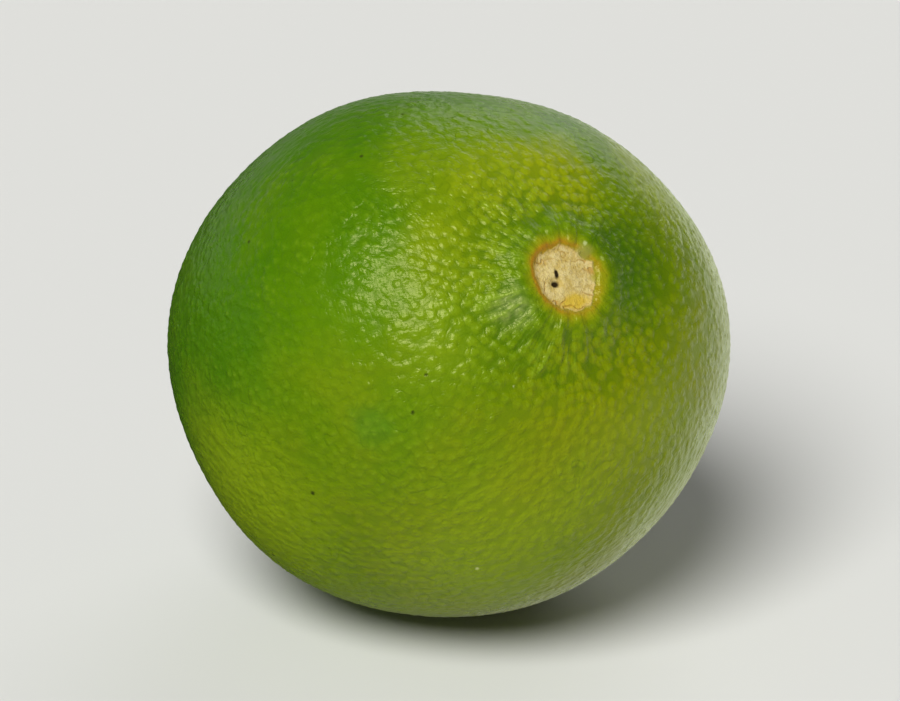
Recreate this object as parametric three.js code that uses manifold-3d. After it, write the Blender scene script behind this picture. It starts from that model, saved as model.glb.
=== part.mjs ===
// A lime, picked, lying with its stem end raised.
// The fruit grew in one piece, so it is one solid: peel, stem scar and blossom-end nipple together.
// Millimetres, +Z up. The origin is the middle of the small flat spot that the fruit rests on,
// and +X points level along the fruit, towards its stem end.
import * as THREE from "three";
import { mergeVertices } from "three/addons/utils/BufferGeometryUtils.js";
import Module from "manifold-3d";

const wasm = await Module();
wasm.setup();

// The whole fruit
const FRUIT_LENGTH = 66; // from the stem scar to the tip of the nipple
const FRUIT_WIDTH = 58.8; // mean width of the oval
const PRESSED = 0.029; // share by which it is wider from side to side, and lower from top to bottom
const PRESSED_TURN = 0.9;
const THREE_SIDED = 0.012; // share by which its girth is slightly three-sided
const THREE_SIDED_TURN = 1.1;
const STEM_HEAVY = 0.03; // share by which it is fuller towards the stem end
const SHOULDER = 0.0185; // share by which its shoulders stand out past a plain oval
const SWELL_HEIGHT = 0.2; // broad soft unevenness of the whole peel
const SWELL_PITCH = 34;
const SWELL_TURNS = [3.9, 0.4, 2.5, 0.1];

// Stem end: a round corky scar, a low collar round it, folds that run out over the collar, a faint moat
const SCAR_RADIUS = 3.6;
const SCAR_DEPTH = 0.4;
const SCAR_EDGE = 0.45; // width of the slope from the collar down to the scar
const SCAR_CROWN = 0.25; // how far the middle of the scar rises again
const SCAR_WAVES = [
  { count: 2, share: 0.045, turn: 0.5 },
  { count: 3, share: 0.03, turn: 2 },
  { count: 5, share: 0.018, turn: 0 },
]; // its outline wanders by these shares of its radius
const PIT_PLACE = new THREE.Vector2(0.3, -1.3); // where the sap vessels left a pit, from the axis
const PIT_RADIUS = 0.55;
const PIT_DEPTH = 0.5;
const COLLAR_RADIUS = 5.2;
const COLLAR_WIDTH = 1.9;
const COLLAR_HEIGHT = 0.5;
const MOAT_RADIUS = 10;
const MOAT_WIDTH = 3.2;
const MOAT_DEPTH = 0.35;
const FOLD_COUNT = 12;
const FOLD_RADIUS = 6.2;
const FOLD_WIDTH = 3;
const FOLD_HEIGHT = 0.14;
const FOLD_WEAKENING = 0.35; // share by which they are weaker on two sides
const FOLD_CROWDING = 2; // how far they crowd together on two sides
const FOLD_TURN = 1;

// Blossom end: a blunt nipple, a furrow that is deeper on one side, the dot that the flower left
const NIPPLE_HEIGHT = 3.4;
const NIPPLE_RADIUS = 6;
const FURROW_RADIUS = 9.5;
const FURROW_WIDTH = 3.6;
const FURROW_DEPTH = 0.38;
const FURROW_UNEVEN = 0.5; // share by which it is deeper on one side
const FURROW_DEEP_SIDE = 2.2;
const DOT_RADIUS = 1.2;
const DOT_DEPTH = 0.4;

// How it lies
const STEM_RAISED = THREE.MathUtils.degToRad(35);
const FLAT_DEPTH = 0.85; // how much of the round peel the flat spot takes away

// Facets: rows of them lie closer at the stem end, and a little closer at the blossom end
const FACETS_AROUND = 72;
const FACET_ROWS = 64;
const CLOSER_AT_STEM = 0.24;
const CLOSER_AT_ENDS = 0.27;

// A soft ring or spot: 1 at the given distance from the axis, fading to 0 over the given width.
function ring(distance, radius, width) {
  return Math.exp(-(((distance - radius) / width) ** 2));
}

// Height that the stem end's relief adds along the axis, at a place measured from the axis.
function stemRelief(x, y) {
  const distance = Math.hypot(x, y);
  const around = Math.atan2(y, x);
  let edge = SCAR_RADIUS;
  for (const wave of SCAR_WAVES) {
    edge += SCAR_RADIUS * wave.share * Math.sin(wave.count * around + wave.turn);
  }
  const inside = 1 - THREE.MathUtils.smoothstep(distance, edge - SCAR_EDGE, edge + SCAR_EDGE);
  const crown = SCAR_CROWN * ring(distance, 0, SCAR_RADIUS / 2);
  const pit = PIT_DEPTH * ring(Math.hypot(x - PIT_PLACE.x, y - PIT_PLACE.y), 0, PIT_RADIUS);
  const foldHeight = FOLD_HEIGHT * (1 - FOLD_WEAKENING * (1 + Math.sin(2 * around - FOLD_TURN)));
  const folds = foldHeight * Math.cos(FOLD_COUNT * around + FOLD_CROWDING * Math.sin(2 * around));
  return (
    COLLAR_HEIGHT * ring(distance, COLLAR_RADIUS, COLLAR_WIDTH) -
    MOAT_DEPTH * ring(distance, MOAT_RADIUS, MOAT_WIDTH) +
    folds * ring(distance, FOLD_RADIUS, FOLD_WIDTH) * (1 - inside) +
    (crown - SCAR_DEPTH) * inside -
    pit
  );
}

// Height that the blossom end's relief adds along the axis, outwards.
function blossomRelief(x, y) {
  const distance = Math.hypot(x, y);
  const around = Math.atan2(y, x);
  const furrow = FURROW_DEPTH * (1 + FURROW_UNEVEN * Math.cos(around - FURROW_DEEP_SIDE));
  return (
    NIPPLE_HEIGHT * ring(distance, 0, NIPPLE_RADIUS) -
    furrow * ring(distance, FURROW_RADIUS, FURROW_WIDTH) -
    DOT_DEPTH * ring(distance, 0, DOT_RADIUS)
  );
}

// The peel's surface in a unit direction from the middle of the standing fruit, stem end up.
function peelPoint(direction) {
  const along = direction.z;
  const off = Math.hypot(direction.x, direction.y);
  const around = Math.atan2(direction.y, direction.x);
  const halfLength = (FRUIT_LENGTH - NIPPLE_HEIGHT) / 2;
  const pressed = PRESSED * Math.cos(2 * around + PRESSED_TURN);
  const threeSided = THREE_SIDED * Math.cos(3 * around + THREE_SIDED_TURN);
  const full = 1 + SHOULDER * (2 * along * off) ** 2;
  const girth = (FRUIT_WIDTH / 2) * (1 - pressed + threeSided) * full * (1 + STEM_HEAVY * along);
  const point = new THREE.Vector3(girth * direction.x, girth * direction.y, halfLength * full * along);
  const wave = (2 * Math.PI) / SWELL_PITCH;
  const swell =
    Math.sin(wave * point.x + SWELL_TURNS[0]) * Math.sin(wave * point.y + SWELL_TURNS[1]) +
    Math.sin(wave * point.y + SWELL_TURNS[2]) * Math.sin(wave * point.z + SWELL_TURNS[3]);
  point.addScaledVector(direction, SWELL_HEIGHT * swell);
  if (along > 0) {
    point.z += stemRelief(point.x, point.y);
  } else {
    point.z -= blossomRelief(point.x, point.y);
  }
  return point;
}

// A closed geometry as a solid that can be cut.
function solidOf(geometry) {
  geometry.deleteAttribute("normal");
  geometry.deleteAttribute("uv");
  const merged = mergeVertices(geometry, 1e-3);
  return new wasm.Manifold(
    new wasm.Mesh({
      numProp: 3,
      vertProperties: merged.getAttribute("position").array,
      triVerts: new Uint32Array(merged.index.array),
    }),
  );
}

// A cut solid as a geometry again.
function geometryOf(solid) {
  const mesh = solid.getMesh();
  const geometry = new THREE.BufferGeometry();
  geometry.setAttribute("position", new THREE.BufferAttribute(mesh.vertProperties, mesh.numProp));
  geometry.setIndex(new THREE.BufferAttribute(mesh.triVerts, 1));
  return geometry;
}

// The round fruit, standing on its blossom end.
function standingFruit() {
  const geometry = new THREE.SphereGeometry(1, FACETS_AROUND, FACET_ROWS);
  geometry.rotateX(Math.PI / 2); // its poles onto the Z axis
  const position = geometry.getAttribute("position");
  const direction = new THREE.Vector3();
  for (let i = 0; i < position.count; i += 1) {
    direction.fromBufferAttribute(position, i).normalize();
    const even = Math.acos(THREE.MathUtils.clamp(direction.z, -1, 1));
    const polar = even - CLOSER_AT_STEM * Math.sin(even) - CLOSER_AT_ENDS * Math.sin(2 * even);
    const around = Math.atan2(direction.y, direction.x);
    const off = Math.sin(polar);
    const point = peelPoint(new THREE.Vector3(off * Math.cos(around), off * Math.sin(around), Math.cos(polar)));
    position.setXYZ(i, point.x, point.y, point.z);
  }
  return geometry;
}

// The fruit as it lies: tipped over, lowered until the flat spot's plane is the floor, and cut there.
function lyingFruit() {
  const geometry = standingFruit();
  geometry.rotateY(Math.PI / 2 - STEM_RAISED);
  geometry.computeBoundingBox();
  geometry.translate(0, 0, -geometry.boundingBox.min.z - FLAT_DEPTH);
  const below = new THREE.BoxGeometry(FRUIT_LENGTH, FRUIT_LENGTH, FRUIT_LENGTH);
  below.translate(0, 0, -FRUIT_LENGTH / 2);
  return geometryOf(solidOf(geometry).subtract(solidOf(below)));
}

// Moves the geometry so that the origin is the middle of its flat spot.
function centreOnFlatSpot(geometry) {
  const position = geometry.getAttribute("position");
  const spot = new THREE.Box3();
  const corner = new THREE.Vector3();
  for (let i = 0; i < position.count; i += 1) {
    corner.fromBufferAttribute(position, i);
    if (Math.abs(corner.z) < 1e-3) {
      spot.expandByPoint(corner);
    }
  }
  const middle = spot.getCenter(new THREE.Vector3());
  geometry.translate(-middle.x, -middle.y, 0);
}

const peel = new THREE.MeshStandardMaterial({ color: 0x5f8409, roughness: 0.4, metalness: 0 });

const fruit = lyingFruit();
centreOnFlatSpot(fruit);
fruit.computeVertexNormals();

const lime = new THREE.Mesh(fruit, peel);
lime.name = "lime";

const group = new THREE.Group();
group.add(lime);

export default group;
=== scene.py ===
# A lime, picked, lying with its stem end raised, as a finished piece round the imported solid.
# Metres, +Z up. The origin is the middle of the flat spot that the fruit rests on,
# and +X points level along the fruit, towards its stem end.
import math

import bpy
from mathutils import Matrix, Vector


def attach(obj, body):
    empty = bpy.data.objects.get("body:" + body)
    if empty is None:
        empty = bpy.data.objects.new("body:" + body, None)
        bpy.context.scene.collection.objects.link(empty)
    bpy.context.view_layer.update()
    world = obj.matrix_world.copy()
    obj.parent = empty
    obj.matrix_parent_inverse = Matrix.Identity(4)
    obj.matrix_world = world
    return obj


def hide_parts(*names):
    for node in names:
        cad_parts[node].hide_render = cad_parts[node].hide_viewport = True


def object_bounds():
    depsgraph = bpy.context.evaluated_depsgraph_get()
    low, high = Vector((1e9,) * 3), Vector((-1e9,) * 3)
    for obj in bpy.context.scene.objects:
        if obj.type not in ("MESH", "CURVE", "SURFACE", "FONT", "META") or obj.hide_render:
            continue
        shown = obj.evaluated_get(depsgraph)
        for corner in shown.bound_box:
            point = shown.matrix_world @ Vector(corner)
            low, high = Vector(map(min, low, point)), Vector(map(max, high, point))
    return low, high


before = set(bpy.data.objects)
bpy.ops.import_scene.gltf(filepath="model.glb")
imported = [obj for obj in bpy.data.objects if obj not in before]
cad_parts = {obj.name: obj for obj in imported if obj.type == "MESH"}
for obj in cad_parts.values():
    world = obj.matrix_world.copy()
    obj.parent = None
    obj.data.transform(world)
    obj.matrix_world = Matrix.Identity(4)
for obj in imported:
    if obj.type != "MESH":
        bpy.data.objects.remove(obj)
cad_low, cad_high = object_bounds()
middle = (Vector(cad_low) + Vector(cad_high)) / 2

# Camera
# It stands where the photograph's did, half a metre from the fruit and 22 degrees above it,
# with a longer lens, so that the fruit fills the picture.
CAMERA_TURN = math.radians(60)
CAMERA_HEIGHT = math.radians(22)
CAMERA_DISTANCE = 0.53
CAMERA_LENS = 192


def towards(turn, height):
    """The direction from the fruit to a place that is turned this far round it and this high."""
    level = math.cos(height)
    return Vector((math.sin(turn) * level, -math.cos(turn) * level, math.sin(height)))


towards_camera = towards(CAMERA_TURN, CAMERA_HEIGHT)
camera = bpy.data.objects.new("camera", bpy.data.cameras.new("camera"))
camera.data.lens = CAMERA_LENS
camera.location = middle + CAMERA_DISTANCE * towards_camera
camera.rotation_euler = towards_camera.to_track_quat("Z", "Y").to_euler()
bpy.context.collection.objects.link(camera)
bpy.context.scene.camera = camera
bpy.context.scene.view_settings.view_transform = "Standard"

# Floor and light
# A plain pale floor in a room that is pale at the foot of its walls and dim above. Soft light falls
# over the camera's left shoulder and, weaker, from behind. The floor is kept out of the peel's
# reflections: in its place the peel mirrors a dark card on the left and a pale one on the right.
FLOOR_SIZE = 12
FLOOR_COLOUR = "D8D8D4"
FLOOR_ROUGHNESS = 0.95
WALL_COLOUR = "E0E0DC"
CEILING_COLOUR = "595959"
WALL_FOOT = -0.03  # share of the way up where the walls begin
WALL_TOP = 0.12  # and where they have faded to the ceiling
LOW_COLOUR = "B0B2A6"  # below the walls, between the cards
CARDS = (  # turn, colour, brightness, and how near its middle a card begins and is whole
    (CAMERA_TURN - math.radians(120), "2A2E20", 1, 0.1, 0.6),
    (CAMERA_TURN + math.radians(130), "F6FFDE", 1.5, 0.5, 0.85),
)
LIGHTS = (  # name, turn, height, breadth, strength
    ("key_light", CAMERA_TURN - math.radians(20), math.radians(47), math.radians(31), 3.7),
    ("back_light", CAMERA_TURN + math.radians(158), math.radians(32), math.radians(46), 0.65),
)
MATH = "ShaderNodeMath"
VECTOR = "ShaderNodeVectorMath"
MAP_RANGE = "ShaderNodeMapRange"


def linear(hex_colour):
    """An sRGB hex colour as linear red, green, blue and alpha."""
    parts = [int(hex_colour[i:i + 2], 16) / 255 for i in (0, 2, 4)]
    return (*(c / 12.92 if c <= 0.04045 else ((c + 0.055) / 1.055) ** 2.4 for c in parts), 1)


def add(tree, kind, inputs=(), **settings):
    """A node with its settings and its inputs, each a value or what it is linked to."""
    node = tree.nodes.new(kind)
    for name, value in settings.items():
        setattr(node, name, value)
    for key, value in inputs.items() if isinstance(inputs, dict) else enumerate(inputs):
        if isinstance(value, bpy.types.Node):
            value = value.outputs[0]
        if isinstance(value, bpy.types.NodeSocket):
            tree.links.new(value, node.inputs[key])
        else:
            node.inputs[key].default_value = value
    return node


def layered(tree, colour, layers):
    """A colour with others laid over it one by one, each given as its share and its colour."""
    for share, over in layers:
        mixed = add(tree, "ShaderNodeMix", {0: share, 6: colour, 7: over}, data_type="RGBA")
        colour = mixed.outputs[2]
    return colour


def plain(name, colour, roughness):
    """A plain matt material."""
    material = bpy.data.materials.new(name)
    material.use_nodes = True
    surface = material.node_tree.nodes["Principled BSDF"]
    surface.inputs["Base Color"].default_value = linear(colour)
    surface.inputs["Roughness"].default_value = roughness
    return material


half = FLOOR_SIZE / 2
floor_corners = [(-half, -half, 0), (half, -half, 0), (half, half, 0), (-half, half, 0)]
floor_mesh = bpy.data.meshes.new("floor")
floor_mesh.from_pydata(floor_corners, [], [(0, 1, 2, 3)])
floor_mesh.materials.append(plain("pale_painted_table", FLOOR_COLOUR, FLOOR_ROUGHNESS))
floor = bpy.data.objects.new("floor", floor_mesh)
floor.visible_glossy = False
bpy.context.collection.objects.link(floor)

room = bpy.data.worlds.new("room")
room.use_nodes = True
room_tree = room.node_tree
outwards = add(room_tree, "ShaderNodeTexCoord")
upwards = add(room_tree, "ShaderNodeSeparateXYZ", (outwards,)).outputs["Z"]
low = linear(LOW_COLOUR)
for turn, colour, brightness, edge, whole in CARDS:
    to_card = add(room_tree, VECTOR, (outwards, towards(turn, 0)), operation="DOT_PRODUCT")
    nearness = to_card.outputs["Value"]
    share = add(room_tree, MAP_RANGE, {"Value": nearness, "From Min": edge, "From Max": whole})
    low = layered(room_tree, low, [(share, [brightness * part for part in linear(colour)])])
up_wall = add(room_tree, MAP_RANGE, {"Value": upwards, "From Max": WALL_TOP})
walls = layered(room_tree, linear(WALL_COLOUR), [(up_wall, linear(CEILING_COLOUR))])
above = add(room_tree, MATH, (upwards, WALL_FOOT), operation="GREATER_THAN")
seen = layered(room_tree, low, [(above, walls)])
room_tree.links.new(seen, room_tree.nodes["Background"].inputs["Color"])
bpy.context.scene.world = room

for name, turn, height, breadth, strength in LIGHTS:
    light = bpy.data.lights.new(name, "SUN")
    light.angle = breadth
    light.energy = strength
    lamp = bpy.data.objects.new(name, light)
    lamp.location = middle + towards(turn, height)
    lamp.rotation_euler = towards(turn, height).to_track_quat("Z", "Y").to_euler()
    bpy.context.collection.objects.link(lamp)

# Lime
# The whole fruit: thin waxy peel full of oil glands, the corky scar where its stem broke off, and
# the blunt nipple at the other end. It grew as one piece, so it is one closed skin over the solid.
MM = 0.001
QUARTER_TURN = math.pi / 2
FRUIT_LENGTH = 66 * MM
FRUIT_WIDTH = 58.8 * MM
PRESSED, PRESSED_TURN = 0.029, 0.9
THREE_SIDED, THREE_SIDED_TURN = 0.012, 1.1
STEM_HEAVY = 0.03
SHOULDER = 0.0185
SWELL_HEIGHT = 0.2 * MM
SWELL_PITCH = 34 * MM
SWELL_TURNS = (3.9, 0.4, 2.5, 0.1)
STEM_RAISED = math.radians(35)
SETTLE = 0.5 * MM  # how softly the peel rounds into the flat spot

SCAR_RADIUS = 3.6 * MM
SCAR_DEPTH = 0.4 * MM
SCAR_EDGE = 0.45 * MM
SCAR_CROWN = 0.25 * MM
SCAR_WAVES = ((2, 0.045, 0.5), (3, 0.03, 2), (5, 0.018, 0))  # count round the scar, share, turn
PIT_PLACE = (0.3 * MM, -1.3 * MM, 0)
PIT_RADIUS, PIT_DEPTH = 0.55 * MM, 0.5 * MM
COLLAR_RADIUS, COLLAR_WIDTH, COLLAR_HEIGHT = 5.2 * MM, 1.9 * MM, 0.5 * MM
MOAT_RADIUS, MOAT_WIDTH, MOAT_DEPTH = 10 * MM, 3.2 * MM, 0.35 * MM
FOLD_RADIUS, FOLD_WIDTH, FOLD_HEIGHT = 6.2 * MM, 3 * MM, 0.14 * MM
FOLD_COUNT, FOLD_WEAKENING, FOLD_CROWDING, FOLD_TURN = 12, 0.35, 2, 1
NIPPLE_RADIUS, NIPPLE_HEIGHT = 6 * MM, 3.4 * MM
FURROW_RADIUS, FURROW_WIDTH, FURROW_DEPTH = 9.5 * MM, 3.6 * MM, 0.38 * MM
FURROW_UNEVEN, FURROW_DEEP_SIDE = 0.5, 2.2
DOT_RADIUS, DOT_DEPTH = 1.2 * MM, 0.4 * MM

FACES_ACROSS = 126  # faces along each edge of the cube that is blown up into the fruit
CLOSER_AT_STEM = 0.3
CLOSER_AT_ENDS = 0.15
GLAND_GAP = 1.0 * MM  # least distance between two oil glands
GLAND_RADIUS = 0.62 * MM
GLAND_HEIGHT = 0.07 * MM
GLAND_FLATTEST, GLAND_SPREAD = 0.3, 1.1  # shares of it: the flattest gland's, and what others add
GLAND_CROWD = 4e6  # points tried on each square metre before those too close are dropped
GLAND_SHARE = 0.95  # of the glands that there is room for
GLAND_SEED = 7
STREAK_HEIGHT = 0.07 * MM
STREAK_PITCH = 1.2 * MM  # across the streaks, at their far end
STREAK_DRAWN_OUT = 0.3  # how quickly they change along their length, against across it
STREAK_REACH = 11 * MM  # how far from the axis the streaks run
STREAK_MIDDLE, STREAK_FADE = 0.75, 0.45  # shares of that where they are strongest, and fade over
STREAK_CONTRAST = 5
STREAK_STRENGTH, STREAK_ONE_SIDED = 0.75, -0.3

NOISE = "ShaderNodeTexNoise"


def total(tree, *terms):
    """The sum of several values."""
    result = terms[0]
    for term in terms[1:]:
        result = add(tree, MATH, (result, term), operation="ADD")
    return result


def product(tree, *terms):
    """The product of several values."""
    result = terms[0]
    for term in terms[1:]:
        result = add(tree, MATH, (result, term), operation="MULTIPLY")
    return result


def ring(tree, distance, radius, width, height=1):
    """A soft ring or spot: its full height at the radius, fading to nothing over the width."""
    share = add(tree, MATH, (total(tree, distance, -radius), width), operation="DIVIDE")
    bell = add(tree, MATH, (math.e, product(tree, share, share, -1)), operation="POWER")
    return product(tree, bell, height)


def wave(tree, angle, count, turn, height):
    """The sine of an angle times a count plus a turn, times a height."""
    turned = add(tree, MATH, (angle, count, turn), operation="MULTIPLY_ADD")
    return product(tree, add(tree, MATH, (turned,), operation="SINE"), height)


def fade(tree, value, start, end):
    """0 at the start, 1 at the end, smooth between them; the start may be the larger one."""
    limits = {"Value": value, "From Min": start, "From Max": end}
    return add(tree, MAP_RANGE, limits, interpolation_type="SMOOTHSTEP")


def measured(tree, place):
    """How a place on the standing fruit lies: its offset and distance from the axis, and
    whether it is in the stem's half."""
    x, y, z = add(tree, "ShaderNodeSeparateXYZ", (place,)).outputs
    offset = add(tree, "ShaderNodeCombineXYZ", (x, y))
    distance = add(tree, VECTOR, (offset,), operation="LENGTH").outputs["Value"]
    at_stem = add(tree, MATH, (z, 0), operation="GREATER_THAN")
    return offset, distance, at_stem


def streaks(tree, place):
    """Fine ridges and grooves that run out from the scar: about 1 on a ridge, -1 in a groove."""
    offset, distance, at_stem = measured(tree, place)
    outwards = add(tree, VECTOR, (offset,), operation="NORMALIZE")
    sideways = add(tree, "ShaderNodeSeparateXYZ", (outwards,)).outputs["Y"]
    far_end = add(tree, VECTOR, {0: outwards, "Scale": STREAK_REACH}, operation="SCALE")
    along = add(tree, "ShaderNodeCombineXYZ", {"Z": product(tree, distance, STREAK_DRAWN_OUT)})
    ray_place = add(tree, VECTOR, (far_end, along), operation="ADD")
    lumps = {"Vector": ray_place, "Scale": 1 / STREAK_PITCH, "Detail": 3, "Roughness": 0.6}
    rays = product(tree, total(tree, add(tree, NOISE, lumps), -0.5), STREAK_CONTRAST)
    strength = total(tree, STREAK_STRENGTH, product(tree, sideways, STREAK_ONE_SIDED))
    band = ring(tree, distance, STREAK_MIDDLE * STREAK_REACH, STREAK_FADE * STREAK_REACH)
    return product(tree, rays, strength, at_stem, band)


def scar_edge(tree, around):
    """How far from the axis the scar's wandering outline lies, at an angle around it."""
    shares = [wave(tree, around, count, turn, share) for count, share, turn in SCAR_WAVES]
    return product(tree, total(tree, 1, *shares), SCAR_RADIUS)


def stem_relief(tree, offset, distance, around):
    """Height that the scar, its collar, folds, moat and pit add along the axis."""
    past_edge = add(tree, MATH, (distance, scar_edge(tree, around)), operation="SUBTRACT")
    outside = fade(tree, past_edge, -SCAR_EDGE, SCAR_EDGE)
    inside = add(tree, MATH, (1, outside), operation="SUBTRACT")
    crown = total(tree, ring(tree, distance, 0, SCAR_RADIUS / 2, SCAR_CROWN), -SCAR_DEPTH)
    from_pit = add(tree, VECTOR, (offset, PIT_PLACE), operation="DISTANCE").outputs["Value"]
    weaker = wave(tree, around, 2, -FOLD_TURN, -FOLD_HEIGHT * FOLD_WEAKENING)
    height = total(tree, FOLD_HEIGHT * (1 - FOLD_WEAKENING), weaker)
    crowded = wave(tree, around, 2, 0, FOLD_CROWDING)
    turned = total(tree, product(tree, around, FOLD_COUNT), crowded)
    folded = add(tree, MATH, (turned,), operation="COSINE")
    folds = product(tree, height, folded, ring(tree, distance, FOLD_RADIUS, FOLD_WIDTH), outside)
    return total(
        tree, folds, product(tree, crown, inside),
        ring(tree, distance, COLLAR_RADIUS, COLLAR_WIDTH, COLLAR_HEIGHT),
        ring(tree, distance, MOAT_RADIUS, MOAT_WIDTH, -MOAT_DEPTH),
        ring(tree, from_pit, 0, PIT_RADIUS, -PIT_DEPTH),
    )


def blossom_relief(tree, distance, around):
    """Height that the nipple, its furrow and the flower's dot add along the axis, stem end up."""
    uneven = FURROW_DEPTH * FURROW_UNEVEN
    deeper = wave(tree, around, 1, QUARTER_TURN - FURROW_DEEP_SIDE, uneven)
    furrow = total(tree, FURROW_DEPTH, deeper)
    return total(
        tree, ring(tree, distance, 0, NIPPLE_RADIUS, -NIPPLE_HEIGHT),
        product(tree, furrow, ring(tree, distance, FURROW_RADIUS, FURROW_WIDTH)),
        ring(tree, distance, 0, DOT_RADIUS, DOT_DEPTH),
    )


def fruit_place(tree, cube_place):
    """Where a point of the cube lies on the smooth standing fruit, stem end up, from its middle."""
    evened = add(tree, VECTOR, {0: cube_place, "Scale": math.pi / 4}, operation="SCALE")
    widened = add(tree, VECTOR, (evened,), operation="TANGENT")
    blown = add(tree, VECTOR, (widened,), operation="NORMALIZE")
    x, y, z = add(tree, "ShaderNodeSeparateXYZ", (blown,)).outputs
    around = add(tree, MATH, (y, x), operation="ARCTAN2")
    even = add(tree, MATH, (z,), operation="ARCCOSINE")
    closer_at_stem = wave(tree, even, 1, 0, -CLOSER_AT_STEM)
    closer_at_ends = wave(tree, even, 2, 0, -CLOSER_AT_ENDS)
    polar = total(tree, even, closer_at_stem, closer_at_ends)
    along = add(tree, MATH, (polar,), operation="COSINE")
    off = add(tree, MATH, (polar,), operation="SINE")
    cosine = add(tree, MATH, (around,), operation="COSINE")
    sine = add(tree, MATH, (around,), operation="SINE")
    flat_direction = (product(tree, off, cosine), product(tree, off, sine))
    direction = add(tree, "ShaderNodeCombineXYZ", (*flat_direction, along))

    girth = total(
        tree, 1,
        wave(tree, around, 2, PRESSED_TURN + QUARTER_TURN, -PRESSED),
        wave(tree, around, 3, THREE_SIDED_TURN + QUARTER_TURN, THREE_SIDED),
    )
    shoulders = product(tree, along, off, 2)
    full = total(tree, 1, product(tree, shoulders, shoulders, SHOULDER))
    heavy = total(tree, 1, product(tree, along, STEM_HEAVY))
    width = product(tree, girth, full, heavy, off, FRUIT_WIDTH / 2)
    x = product(tree, width, cosine)
    y = product(tree, width, sine)
    z = product(tree, along, full, (FRUIT_LENGTH - NIPPLE_HEIGHT) / 2)
    smooth = add(tree, "ShaderNodeCombineXYZ", (x, y, z))

    count = 2 * math.pi / SWELL_PITCH
    first = wave(tree, x, count, SWELL_TURNS[0], 1)
    second = wave(tree, y, count, SWELL_TURNS[1], SWELL_HEIGHT)
    third = wave(tree, y, count, SWELL_TURNS[2], 1)
    fourth = wave(tree, z, count, SWELL_TURNS[3], SWELL_HEIGHT)
    height = total(tree, product(tree, first, second), product(tree, third, fourth))
    swell = add(tree, VECTOR, {0: direction, "Scale": height}, operation="SCALE")
    place = add(tree, VECTOR, (smooth, swell), operation="ADD")

    offset, distance, at_stem = measured(tree, place)
    stem = stem_relief(tree, offset, distance, around)
    blossom = blossom_relief(tree, distance, around)
    reliefs = {"Switch": at_stem, "False": blossom, "True": stem}
    relief = add(tree, "GeometryNodeSwitch", reliefs, input_type="FLOAT")
    lift = add(tree, "ShaderNodeCombineXYZ", {"Z": relief})
    return add(tree, VECTOR, (place, lift), operation="ADD")


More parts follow.
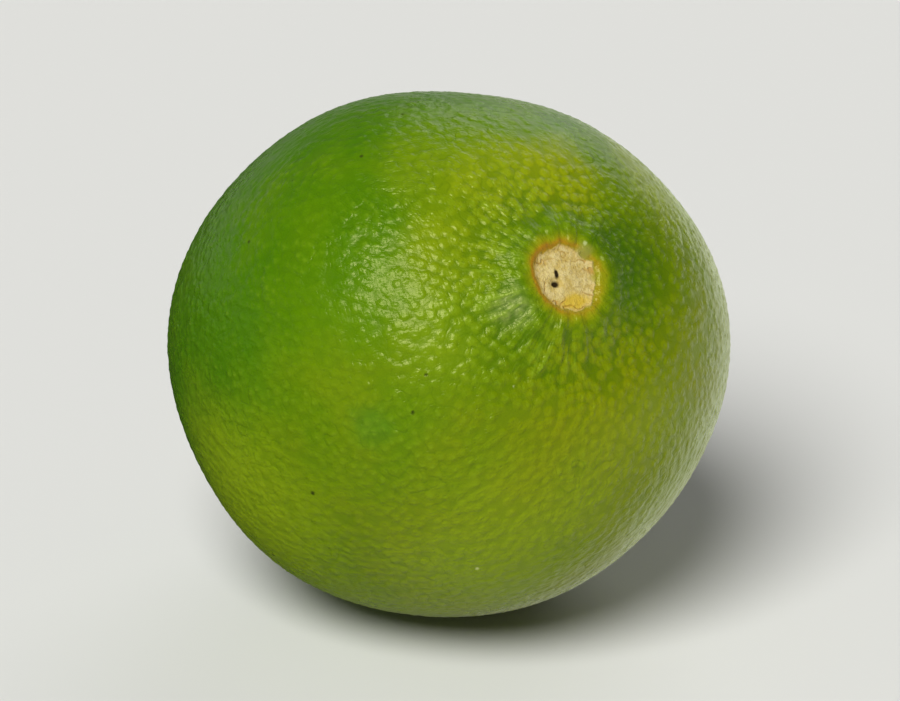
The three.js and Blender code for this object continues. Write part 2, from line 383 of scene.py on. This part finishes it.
def lime_tree(inputs):
    """The nodes that grow the lime from a cube, tip it over and set it on its flat spot."""
    tree = bpy.data.node_groups.new("grow_lime", "GeometryNodeTree")
    tree.interface.new_socket("Lime", in_out="OUTPUT", socket_type="NodeSocketGeometry")
    tree.interface.new_socket("Empty mesh", in_out="INPUT", socket_type="NodeSocketGeometry")
    for name, (kind, _) in inputs.items():
        tree.interface.new_socket(name, in_out="INPUT", socket_type=kind)
    given = add(tree, "NodeGroupInput").outputs
    here = add(tree, "GeometryNodeInputPosition")

    # The smooth fruit, standing, and where its glands lie
    corners = add(tree, MATH, (given["Faces across"], 1), operation="ADD")
    cube = add(
        tree, "GeometryNodeMeshCube",
        {"Size": (2, 2, 2), "Vertices X": corners, "Vertices Y": corners, "Vertices Z": corners},
    )
    standing = {"Geometry": cube, "Position": fruit_place(tree, here)}
    skin = add(tree, "GeometryNodeSetPosition", standing)
    glands = add(
        tree, "GeometryNodeDistributePointsOnFaces",
        {
            "Mesh": skin, "Distance Min": given["Gland gap"], "Density Max": GLAND_CROWD,
            "Density Factor": GLAND_SHARE, "Seed": given["Seed"],
        },
        distribute_method="POISSON",
    )
    nearest = add(tree, "GeometryNodeProximity", {"Target": glands}, target_element="POINTS")
    centre = nearest.outputs["Position"]
    toned = add(tree, "ShaderNodeTexWhiteNoise", {"Vector": centre}, noise_dimensions="3D")
    measures = {
        "peel_place": ("FLOAT_VECTOR", here),
        "gland_distance": ("FLOAT", nearest.outputs["Distance"]),
        "gland_centre": ("FLOAT_VECTOR", centre),
        "gland_tone": ("FLOAT", toned),
    }
    stored = {}
    for name, (kind, value) in measures.items():
        measure = {"Geometry": skin, "Name": name, "Value": value}
        skin = add(tree, "GeometryNodeStoreNamedAttribute", measure, data_type=kind, domain="POINT")
        stored[name] = add(tree, "GeometryNodeInputNamedAttribute", {"Name": name}, data_type=kind)

    # Relief: a low dome on each gland, none on the scar, and the streaks round it
    place = stored["peel_place"]
    _, distance, at_stem = measured(tree, place)
    from_gland = (stored["gland_distance"], given["Gland radius"])
    share = add(tree, MATH, from_gland, operation="DIVIDE", use_clamp=True)
    dome = add(tree, MATH, (1, product(tree, share, share)), operation="SUBTRACT")
    plump = total(tree, product(tree, stored["gland_tone"], GLAND_SPREAD), GLAND_FLATTEST)
    by_scar = fade(tree, distance, SCAR_RADIUS, 3 * SCAR_RADIUS)
    shares = {"Factor": at_stem, "A": 1.0, "B": by_scar}
    peel_share = add(tree, "ShaderNodeMix", shares, data_type="FLOAT")
    pebbles = product(tree, dome, plump, peel_share, given["Gland height"])
    raised = total(tree, pebbles, product(tree, streaks(tree, place), given["Streak height"]))
    normal = add(tree, "GeometryNodeInputNormal")
    along_normal = add(tree, VECTOR, {0: normal, "Scale": raised}, operation="SCALE")
    pebbled = add(tree, "GeometryNodeSetPosition", {"Geometry": skin, "Offset": along_normal})

    # Tipped over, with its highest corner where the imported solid's is, and settled on the floor
    tip = add(tree, MATH, (QUARTER_TURN, given["Stem raised"]), operation="SUBTRACT")
    rotation = add(tree, "ShaderNodeCombineXYZ", {"Y": tip})
    tipped = add(tree, "GeometryNodeTransform", {"Geometry": pebbled, "Rotation": rotation})
    box = add(tree, "GeometryNodeBoundBox", {"Geometry": tipped}).outputs
    shift = add(tree, VECTOR, (given["Highest corner"], box["Max"]), operation="SUBTRACT")
    lying = add(tree, "GeometryNodeSetPosition", {"Geometry": tipped, "Offset": shift})
    x, y, z = add(tree, "ShaderNodeSeparateXYZ", (here,)).outputs
    level = add(tree, MATH, (z, 0, SETTLE), operation="SMOOTH_MAX")
    settled_place = add(tree, "ShaderNodeCombineXYZ", (x, y, level))
    settled = add(tree, "GeometryNodeSetPosition", {"Geometry": lying, "Position": settled_place})

    rounded = add(tree, "GeometryNodeSetShadeSmooth", {"Geometry": settled})
    real = add(tree, "GeometryNodeRealizeInstances", {"Geometry": rounded})
    dressed = add(tree, "GeometryNodeSetMaterial", {"Geometry": real, "Material": given["Peel"]})
    add(tree, "NodeGroupOutput", (dressed,))
    return tree


# Peel material
# Fresh lime peel: a thin natural wax over green tissue. The wax gives a soft satin sheen that the
# glands break up, and the tissue runs from deep green on the shaded side to olive on the sunny one;
# the deep green there is partly painted shade.
DEEP_GREEN = "426E01"
LEAF_GREEN = "547901"
OLIVE_GREEN = "667E02"
YELLOW_GREEN = "7B8503"
GREENS = ((0.18, DEEP_GREEN), (0.36, LEAF_GREEN), (0.6, OLIVE_GREEN), (0.86, YELLOW_GREEN))
# The side the peel is yellowest towards; away from it the deeper green is partly painted shade
SUNNY_UNSHADED_SIDE = Vector((0.62, 0.5, 0.25)).normalized()  # where it faces, on the standing fruit
SUNNY_UNSHADED_SHARE, DRIFT_SHARE, MOTTLE_SHARE = 0.4, 0.7, 0.34  # how much of the yellow each one brings
SHADE_SHARE = -0.02
PEEL_ROUGHNESS = 0.28
PEEL_SURFACE = {
    "IOR": 1.45,
    "Specular IOR Level": 0.28,
    "Specular Tint": linear("FFF9B2"),
    "Subsurface Weight": 0.12,
    "Subsurface Radius": (0.8, 1.0, 0.25),
    "Subsurface Scale": 1 * MM,
}
PATTERNS = {  # size of each random pattern's lumps in millimetres, its detail, its roughness
    "drift": (24, 2, 0.5),
    "mottle": (5, 3, 0.5),
    "patches": (9, 2, 0.5),
    "wax": (6, 3, 0.5),
    "swelling": (1.6, 3, 0.6),
    "creases": (1.9, 1, 0.5),
    "fine": (0.3, 3, 0.6),
    "edge": (1.3, 3, 0.5),
    "cork": (0.8, 4, 0.65),
    "cracks": (2.6, 2, 0.5),
    "grain": (0.35, 2, 0.5),
}
PATCHES = (  # place on the standing fruit and reach in millimetres, colour, strength
    ((-12.0, 4.6, 28.5), 6.0, "889206", 0.8),
    ((-12.0, 19.0, 22.0), 6.0, "8C9620", 0.6),
    ((-1.5, 8.5, 30.2), 5.5, "3A5E02", 0.8),
    ((3.5, 7.5, 30.4), 4.0, "3F6402", 0.6),
    ((1.9, -7.2, 30.7), 2.4, "808C50", 0.65),
    ((9.2, -21.6, 20.3), 2.8, "467614", 0.5),
    # These four on the low side are paler: partly a yellower peel, partly painted light thrown up
    # from the floor, with painted sheen on the lower right
    ((22.0, 6.0, 20.0), 12.0, "82921A", 0.6),
    ((9.7, -27.2, -0.6), 12.0, "80960A", 0.65),
    ((19.0, -20.0, -9.0), 18.0, "80960A", 0.6),
    ((25.1, -8.5, 12.0), 13.5, "7F9611", 0.82),
    ((-12.8, -2.2, 28.5), 6.0, "8C980E", 0.6),
    ((-14.1, -7.3, 27.2), 8.0, "82920A", 0.4),
    ((-8.0, 18.5, 23.0), 7.0, "8A9A1E", 0.6),
    ((-6.0, -11.0, 29.0), 7.0, "82920A", 0.6),
    ((2.1, -13.4, 28.7), 6.0, "78900E", 0.6),
)
SPECKS = (  # the same for single small specks, and for the green that closes over the scar's edge
    ((6.1, -16.7, 26.2), 0.28, "1C2208", 0.9),
    ((9.3, -18.2, 23.8), 0.26, "1C2208", 0.8),
    ((13.0, -24.8, 9.1), 0.3, "1C2208", 0.9),
    ((9.7, -8.4, 28.6), 0.22, "C8CC90", 0.8),
    ((25.3, -10.1, 12.0), 0.25, "C8CC90", 0.7),
    ((0.7, 3.8, 31.2), 0.9, "83860E", 0.85),
    ((-2.3, 3.0, 31.3), 0.9, "86883C", 0.8),
    ((-3.1, 3.2, 31.4), 0.26, "B9C288", 0.6),
    ((-1.2, 4.7, 31.5), 0.3, "A9BC60", 0.7),
)
SPOT_LIMITS = (1.3, 0.3)  # shares of a spot's reach
SPOT_WANDER = 1.2
FREE_SPECK_PITCH = 8 * MM  # between the other dark specks, which lie anywhere
FREE_SPECK_RADIUS = 0.2 * MM
FREE_SPECK_COLOUR = "2B2A10"
FREE_SPECK_SHADE = 0.8

# How the glands, creases and streaks are coloured and raised, with painted shade in the creases and
# the streaks' grooves and a painted highlight on their ridges; relief is in millimetres throughout,
# and each pair of limits says where something begins to show and where it is whole
GLAND_AND_PAINTED_HIGHLIGHT_COLOUR = "7D9A1E"
GLAND_LIMITS = (0.4 * MM, 0.1 * MM)  # from its middle
GLAND_HELD = 0.8  # least share of the mesh's measure that the finer one may fall to
GLAND_FAINT, GLAND_TONED = 0.05, 0.4  # how pale the darkest gland is, and what others add
GLAND_EVERYWHERE, GLAND_IN_PATCHES, GLAND_BY_SCAR = 0.15, 0.6, 0.35
GLAND_DOME, GLAND_DOME_SPREAD = 0.015, 0.06
GLAND_DIMPLE, DIMPLE_RADIUS = -0.035, 0.28 * MM
VALLEY_AND_PAINTED_SHADE_COLOUR = "3A5F02"
VALLEY_LIMITS = (0.42 * MM, 0.75 * MM)
VALLEY_EVERYWHERE, VALLEY_BY_SCAR = 0.16, 0.4
BY_SCAR_RADIUS, BY_SCAR_WIDTH = 8 * MM, 5 * MM
PATCH_LIMITS = (0.35, 0.65)
CREASE_LIMITS = (0.07, 0)
CREASE_PAINTED_SHADE, CREASE_RELIEF = 0.2, -0.03
RIDGE_LIMITS, GROOVE_LIMITS = (0.1, 0.9), (-0.1, -0.9)
STREAK_PAINTED_HIGHLIGHT, STREAK_PAINTED_SHADE, STREAK_RELIEF = 0.55, 0.45, 0.05
SWELLING_RELIEF = 0.13
FINE_RELIEF = 0.012
WAX_PATCHINESS = 0.2

# Scar: dry pale cork with cracks round its edge, a brown rim, a yellow-green ring and dark pits
CORK_COLOUR = "B9A25C"
CORK_PALE_COLOUR = "CAB87C"
CORK_DARK_COLOUR = "94783A"
CORK_ROUGHNESS = 0.8
CORK_LIMITS = (0.08 * MM, -0.2 * MM)  # past the scar's edge
CORK_PALE_LIMITS, GRAIN_LIMITS, CRACK_LIMITS = (0.38, 0.62), (0.55, 0.75), (0.025, 0)
CRACKS_PLACE, CRACKS_WIDTH = -0.5 * MM, 0.9 * MM
CORK_RELIEF, GRAIN_RELIEF, CRACK_RELIEF = 0.3, 0.1, -0.08
CRACK_SHADE, GRAIN_SHADE = 0.6, 0.5
EDGE_WANDER = 1.4 * MM
RIM_COLOUR = "A3741A"
RIM_STRENGTH, RIM_ONE_SIDED, RIM_TURN = 0.65, 0.3, 3.75
RIM_PLACE, RIM_WIDTH = 0.25 * MM, 0.38 * MM
RING_COLOUR = "8C8E10"
RING_STRENGTH, RING_PLACE, RING_WIDTH = 0.8, 0.5 * MM, 0.8 * MM
LIP_COLOUR = "C4A62C"
PIT_COLOUR = "1E1206"
SCAR_MARKS = (  # place of each on the scar and half its size, in millimetres, colour, strength
    ((2.6, 0.1), (0.95, 2.1), LIP_COLOUR, 0.85),
    ((0.4, -1.35), (0.38, 0.45), PIT_COLOUR, 1.0),
    ((-0.6, -0.95), (0.55, 0.25), PIT_COLOUR, 1.0),
)
MARK_LIMITS = (1.2, 0.5)  # shares of a mark's size
FLOWER_DOT_COLOUR = "5E4520"
FLOWER_DOT_STRENGTH, FLOWER_DOT_WANDER = 0.9, 1.6 * MM
FLOWER_DOT_LIMITS = (1.1 * MM, 0.7 * MM)
FLOWER_RING_STRENGTH, FLOWER_RING_RADIUS, FLOWER_RING_WIDTH = 0.5, 1.2 * MM, 1.4 * MM


def spotted(tree, place, spots, colour):
    """A colour with spots over it whose edges wander."""
    for spot, reach, spot_colour, strength in spots:
        size = reach * MM
        lumps = add(tree, NOISE, {"Vector": place, "Scale": 1 / size, "Detail": 3})
        wander = product(tree, total(tree, lumps, -0.5), SPOT_WANDER * size)
        away = add(tree, VECTOR, (place, Vector(spot) * MM), operation="DISTANCE").outputs["Value"]
        near = fade(tree, total(tree, away, wander), *(limit * size for limit in SPOT_LIMITS))
        colour = layered(tree, colour, [(product(tree, near, strength), linear(spot_colour))])
    return colour


def scar_marks(tree, offset, edge_noise):
    """The yellow lip and the dark pits on the scar, as layers of colour."""
    layers = []
    for (x, y), (half_length, half_width), colour, strength in SCAR_MARKS:
        away = add(tree, VECTOR, (offset, (x * MM, y * MM, 0)), operation="SUBTRACT")
        size = (half_length * MM, half_width * MM, MM)
        scaled = add(tree, VECTOR, (away, size), operation="DIVIDE")
        share = add(tree, VECTOR, (scaled,), operation="LENGTH").outputs["Value"]
        near = fade(tree, total(tree, share, edge_noise), *MARK_LIMITS)
        layers.append((product(tree, near, strength), linear(colour)))
    return layers


def peel_material():
    """The peel and the scar in one surface, because they grew together."""
    material = plain("waxy_lime_peel", LEAF_GREEN, PEEL_ROUGHNESS)
    tree = material.node_tree
    surface = tree.nodes["Principled BSDF"]
    for name, value in PEEL_SURFACE.items():
        surface.inputs[name].default_value = value

    place = add(tree, "ShaderNodeAttribute", attribute_name="peel_place").outputs["Vector"]
    centre = add(tree, "ShaderNodeAttribute", attribute_name="gland_centre").outputs["Vector"]
    reach = add(tree, "ShaderNodeAttribute", attribute_name="gland_distance").outputs["Fac"]
    tone = add(tree, "ShaderNodeAttribute", attribute_name="gland_tone").outputs["Fac"]
    offset, distance, at_stem = measured(tree, place)
    at_tip = add(tree, MATH, (1, at_stem), operation="SUBTRACT")
    x, y, _ = add(tree, "ShaderNodeSeparateXYZ", (place,)).outputs
    around = add(tree, MATH, (y, x), operation="ARCTAN2")
    pattern = {}
    for name, (size, detail, rough) in PATTERNS.items():
        lumps = {"Vector": place, "Scale": 1 / (size * MM), "Detail": detail, "Roughness": rough}
        pattern[name] = add(tree, NOISE, lumps)

    # Glands: how far from the middle of the nearest one, held up halfway to the next
    exact = add(tree, VECTOR, (place, centre), operation="DISTANCE").outputs["Value"]
    held = add(tree, MATH, (exact, product(tree, reach, GLAND_HELD)), operation="MAXIMUM")
    gland = fade(tree, held, *GLAND_LIMITS)
    valley = fade(tree, reach, *VALLEY_LIMITS)
    patchy = fade(tree, pattern["patches"], *PATCH_LIMITS)
    near_scar = product(tree, at_stem, ring(tree, distance, BY_SCAR_RADIUS, BY_SCAR_WIDTH))
    ray = streaks(tree, place)
    bent = add(tree, MATH, (total(tree, pattern["creases"], -0.5),), operation="ABSOLUTE")
    crease = product(tree, fade(tree, bent, *CREASE_LIMITS), patchy)

    # Scar: cork inside its edge, a brown rim that is stronger on one side, a ring round that
    edge_noise = total(tree, pattern["edge"], -0.5)
    to_edge = product(tree, scar_edge(tree, around), -1)
    past_edge = total(tree, distance, product(tree, edge_noise, EDGE_WANDER), to_edge)
    cork = product(tree, at_stem, fade(tree, past_edge, *CORK_LIMITS))
    rim_strength = total(tree, RIM_STRENGTH, wave(tree, around, 1, RIM_TURN, RIM_ONE_SIDED))
    rim = product(tree, at_stem, ring(tree, past_edge, RIM_PLACE, RIM_WIDTH, rim_strength))
    halo = product(tree, at_stem, ring(tree, past_edge, RING_PLACE, RING_WIDTH, RING_STRENGTH))
    folded = add(tree, MATH, (total(tree, pattern["cracks"], -0.5),), operation="ABSOLUTE")
    crack_band = ring(tree, past_edge, CRACKS_PLACE, CRACKS_WIDTH)
    cracks = product(tree, fade(tree, folded, *CRACK_LIMITS), crack_band)

    # Colour of the peel, from the green under it all to the flower's dot
    facing = add(tree, VECTOR, (place,), operation="NORMALIZE")
    # Yellower towards the sunny side; away from it the deeper green is partly painted shade
    sunny_unshaded = add(tree, VECTOR, (facing, SUNNY_UNSHADED_SIDE), operation="DOT_PRODUCT").outputs["Value"]
    drift = product(tree, pattern["drift"], DRIFT_SHARE)
    mottle = product(tree, pattern["mottle"], MOTTLE_SHARE)
    yellow = total(tree, product(tree, sunny_unshaded, SUNNY_UNSHADED_SHARE), drift, mottle, SHADE_SHARE)
    greens = add(tree, "ShaderNodeValToRGB", (yellow,))
    stops = greens.color_ramp.elements
    for share, green in GREENS:
        stops.new(share).color = linear(green)
    stops.remove(stops[-1])
    stops.remove(stops[0])
    colour = spotted(tree, place, PATCHES, greens.outputs["Color"])

    gland_pale = total(tree, product(tree, tone, GLAND_TONED), GLAND_FAINT)
    gland_shown = total(
        tree, product(tree, patchy, GLAND_IN_PATCHES), GLAND_EVERYWHERE,
        product(tree, near_scar, GLAND_BY_SCAR),
    )
    valley_shown = total(tree, VALLEY_EVERYWHERE, product(tree, near_scar, VALLEY_BY_SCAR))
    speck = add(tree, "ShaderNodeTexVoronoi", {"Vector": place, "Scale": 1 / FREE_SPECK_PITCH})
    to_speck = product(tree, speck.outputs["Distance"], FREE_SPECK_PITCH)
    specked = fade(tree, to_speck, 1.5 * FREE_SPECK_RADIUS, 0.5 * FREE_SPECK_RADIUS)
    to_dot = total(tree, distance, product(tree, edge_noise, FLOWER_DOT_WANDER))
    dot_ring = ring(tree, to_dot, FLOWER_RING_RADIUS, FLOWER_RING_WIDTH, FLOWER_RING_STRENGTH)
    dot = fade(tree, to_dot, *FLOWER_DOT_LIMITS)
    colour = layered(tree, colour, [
        (product(tree, gland, gland_pale, gland_shown), linear(GLAND_AND_PAINTED_HIGHLIGHT_COLOUR)),
        (product(tree, valley, valley_shown), linear(VALLEY_AND_PAINTED_SHADE_COLOUR)),
        # Painted shade in the creases
        (product(tree, crease, CREASE_PAINTED_SHADE), linear(VALLEY_AND_PAINTED_SHADE_COLOUR)),
        # A painted highlight on the streaks' ridges and painted shade in their grooves
        (product(tree, fade(tree, ray, *RIDGE_LIMITS), STREAK_PAINTED_HIGHLIGHT), linear(GLAND_AND_PAINTED_HIGHLIGHT_COLOUR)),
        (product(tree, fade(tree, ray, *GROOVE_LIMITS), STREAK_PAINTED_SHADE), linear(VALLEY_AND_PAINTED_SHADE_COLOUR)),
        (product(tree, specked, FREE_SPECK_SHADE), linear(FREE_SPECK_COLOUR)),
        (product(tree, at_tip, dot_ring), linear(RING_COLOUR)),
        (product(tree, at_tip, dot, FLOWER_DOT_STRENGTH), linear(FLOWER_DOT_COLOUR)),
    ])

    # Colour of the scar, laid over the peel's
    grainy = fade(tree, pattern["grain"], *GRAIN_LIMITS)
    cork_colour = layered(tree, linear(CORK_COLOUR), [
        (fade(tree, pattern["cork"], *CORK_PALE_LIMITS), linear(CORK_PALE_COLOUR)),
        (product(tree, grainy, GRAIN_SHADE), linear(CORK_DARK_COLOUR)),
        *scar_marks(tree, offset, edge_noise),
        (product(tree, cracks, CRACK_SHADE), linear(RIM_COLOUR)),
    ])
    colour = layered(tree, colour, [
        (halo, linear(RING_COLOUR)),
        (cork, cork_colour),
        (rim, linear(RIM_COLOUR)),
    ])
    colour = spotted(tree, place, SPECKS, colour)
    tree.links.new(colour, surface.inputs["Base Color"])

    # Roughness: patchy wax on the peel, dull cork
    wax = product(tree, total(tree, pattern["wax"], -0.5), WAX_PATCHINESS)
    waxy = total(tree, wax, PEEL_ROUGHNESS)
    finishes = {"Factor": cork, "A": waxy, "B": CORK_ROUGHNESS}
    finish = add(tree, "ShaderNodeMix", finishes, data_type="FLOAT")
    tree.links.new(finish.outputs[0], surface.inputs["Roughness"])

    # Relief in millimetres: a crisp dome with a dimple on each gland, streaks, waxy grain, cork
    dome_share = add(tree, MATH, (held, GLAND_RADIUS), operation="DIVIDE", use_clamp=True)
    dome_shape = add(tree, MATH, (1, product(tree, dome_share, dome_share)), operation="SUBTRACT")
    dome_height = total(tree, product(tree, tone, GLAND_DOME_SPREAD), GLAND_DOME)
    peel_height = total(
        tree, product(tree, dome_shape, dome_height),
        product(tree, fade(tree, held, DIMPLE_RADIUS, 0), GLAND_DIMPLE),
        product(tree, pattern["swelling"], SWELLING_RELIEF),
        product(tree, crease, CREASE_RELIEF),
        product(tree, pattern["fine"], FINE_RELIEF),
        product(tree, ray, STREAK_RELIEF),
    )
    cork_height = total(
        tree, product(tree, pattern["cork"], CORK_RELIEF),
        product(tree, pattern["grain"], GRAIN_RELIEF),
        product(tree, cracks, CRACK_RELIEF),
    )
    not_cork = add(tree, MATH, (1, cork), operation="SUBTRACT")
    height = total(tree, product(tree, not_cork, peel_height), product(tree, cork, cork_height))
    bump = add(tree, "ShaderNodeBump", {"Distance": MM, "Height": height})
    tree.links.new(bump.outputs["Normal"], surface.inputs["Normal"])
    return material


lime_inputs = {
    "Faces across": ("NodeSocketInt", FACES_ACROSS),
    "Gland gap": ("NodeSocketFloat", GLAND_GAP),
    "Gland radius": ("NodeSocketFloat", GLAND_RADIUS),
    "Gland height": ("NodeSocketFloat", GLAND_HEIGHT),
    "Streak height": ("NodeSocketFloat", STREAK_HEIGHT),
    "Stem raised": ("NodeSocketFloat", STEM_RAISED),
    "Highest corner": ("NodeSocketVector", tuple(cad_high)),
    "Seed": ("NodeSocketInt", GLAND_SEED),
    "Peel": ("NodeSocketMaterial", peel_material()),
}
seed_object = bpy.data.objects.new("growing_lime", bpy.data.meshes.new("growing_lime"))
bpy.context.collection.objects.link(seed_object)
grow = seed_object.modifiers.new("grow", "NODES")
grow.node_group = lime_tree(lime_inputs)
for item in grow.node_group.interface.items_tree:
    if item.name in lime_inputs:
        _, value = lime_inputs[item.name]
        grow[item.identifier] = value
bpy.context.view_layer.update()
grown = seed_object.evaluated_get(bpy.context.evaluated_depsgraph_get())
lime = bpy.data.objects.new("lime_skin", bpy.data.meshes.new_from_object(grown))
bpy.context.collection.objects.link(lime)
bpy.data.objects.remove(seed_object)
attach(lime, "root")
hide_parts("lime")
